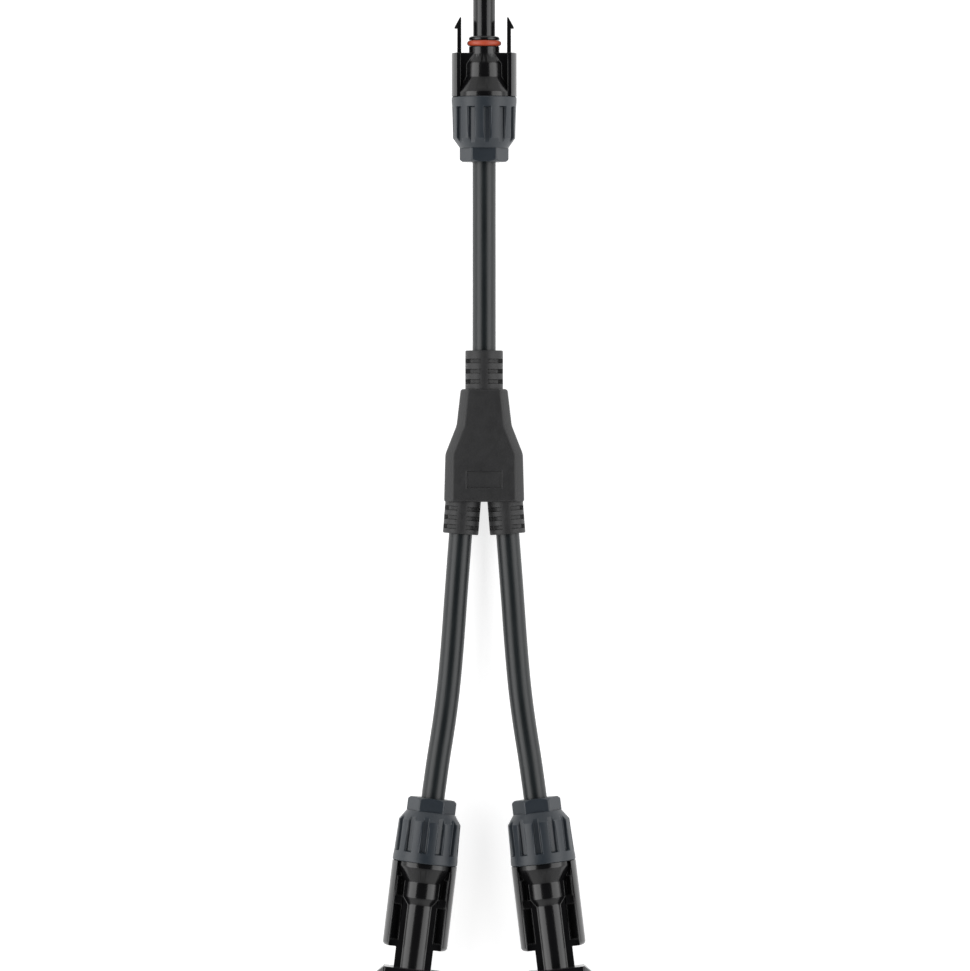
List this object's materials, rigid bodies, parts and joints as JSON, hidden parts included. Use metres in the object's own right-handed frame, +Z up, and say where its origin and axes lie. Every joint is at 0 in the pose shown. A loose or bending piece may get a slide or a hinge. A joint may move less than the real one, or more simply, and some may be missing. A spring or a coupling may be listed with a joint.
{
  "type": "solar branch cable connector",
  "caption": "Y branch lead for solar panels: a latching socket coupler on a trunk cable, a moulded splitter and branch cables ending in plug couplers.",
  "frame": {"origin": "centre of the footprint, on the surface that it lies on", "axes": "+Y along the trunk cable towards the socket coupler, +X to the right seen from above, +Z up"},
  "size_m": [0.0646, 0.2944, 0.019],
  "materials": {
    "housing_plastic": "moulded, satin to glossy black",
    "nut_plastic": "satin dark slate grey",
    "clamp_plastic": "satin black",
    "seal_rubber": "matt black rubber",
    "o_ring_rubber": "satin orange-red silicone",
    "cable_sheath": "smooth semi-gloss black",
    "cable_insulation": "smooth white",
    "tinned_copper": "bright tin plate",
    "spring_steel": "bright spring steel",
    "overmould": "fine matt texture, charcoal",
    "core_plastic": "plain moulded"
  },
  "bodies": {
    "cable_assembly": {"socket_housing": "housing_plastic", "socket_o_ring": "o_ring_rubber", "socket_contact": "tinned_copper", "socket_contact_spring": "spring_steel", "splitter_overmould": "overmould", "splitter_core": "core_plastic", "splitter_splice_block": "tinned_copper", "trunk_cable_sheath": "cable_sheath", "trunk_cable_insulation": "cable_insulation", "trunk_cable_conductor": "tinned_copper", "left_cable_sheath": "cable_sheath", "left_cable_insulation": "cable_insulation", "left_cable_conductor": "tinned_copper", "right_cable_sheath": "cable_sheath", "right_cable_insulation": "cable_insulation", "right_cable_conductor": "tinned_copper", "socket_cable_seal": "seal_rubber", "socket_retainer_clip": "spring_steel", "plug_right_cable_seal": "seal_rubber", "plug_right_retainer_clip": "spring_steel", "plug_left_cable_seal": "seal_rubber", "plug_left_retainer_clip": "spring_steel", "plug_right_housing": "housing_plastic", "plug_right_pin": "tinned_copper", "plug_left_housing": "housing_plastic", "plug_left_pin": "tinned_copper"},
    "latch_right": {"socket_latch_right": "housing_plastic"},
    "latch_left": {"socket_latch_left": "housing_plastic"},
    "socket_clamp": {"socket_clamp_ring": "clamp_plastic"},
    "socket_nut": {"socket_gland_nut": "nut_plastic"},
    "plug_right_clamp": {"plug_right_clamp_ring": "clamp_plastic"},
    "plug_right_nut": {"plug_right_gland_nut": "nut_plastic"},
    "plug_left_clamp": {"plug_left_clamp_ring": "clamp_plastic"},
    "plug_left_nut": {"plug_left_gland_nut": "nut_plastic"}
  },
  "joints": [
    {"name": "latch_right_flex", "type": "hinge", "parent": "cable_assembly", "child": "latch_right", "pos_m": [0.0073, 0.12726, 0.0095], "axis": [0, 0, 1], "range_deg": [0, 7], "stiffness_Nm_per_rad": 0.12},
    {"name": "latch_left_flex", "type": "hinge", "parent": "cable_assembly", "child": "latch_left", "pos_m": [-0.0073, 0.12726, 0.0095], "axis": [0, 0, -1], "range_deg": [0, 7], "stiffness_Nm_per_rad": 0.12},
    {"name": "socket_clamp_slide", "type": "slide", "parent": "cable_assembly", "child": "socket_clamp", "axis": [0, -1, 0], "range_m": [0, 0.007]},
    {"name": "socket_nut_turn", "type": "hinge", "parent": "socket_clamp", "child": "socket_nut", "pos_m": [0, 0.09666, 0.0095], "axis": [0, -1, 0], "range_deg": [0, 1260]},
    {"name": "plug_right_clamp_slide", "type": "slide", "parent": "cable_assembly", "child": "plug_right_clamp", "axis": [-0.1191, 0.9929, 0], "range_m": [0, 0.007]},
    {"name": "plug_right_nut_turn", "type": "hinge", "parent": "plug_right_clamp", "child": "plug_right_nut", "pos_m": [0.01508, -0.08935, 0.0095], "axis": [-0.1191, 0.9929, 0], "range_deg": [0, 1260]},
    {"name": "plug_left_clamp_slide", "type": "slide", "parent": "cable_assembly", "child": "plug_left_clamp", "axis": [0.1191, 0.9929, 0], "range_m": [0, 0.007]},
    {"name": "plug_left_nut_turn", "type": "hinge", "parent": "plug_left_clamp", "child": "plug_left_nut", "pos_m": [-0.01508, -0.08935, 0.0095], "axis": [0.1191, 0.9929, 0], "range_deg": [0, 1260]}
  ],
  "couplings": [
    {"joint": "socket_clamp_slide", "follows": "socket_nut_turn", "m_per_rad": 0.00031831},
    {"joint": "plug_right_clamp_slide", "follows": "plug_right_nut_turn", "m_per_rad": 0.00031831},
    {"joint": "plug_left_clamp_slide", "follows": "plug_left_nut_turn", "m_per_rad": 0.00031831}
  ]
}
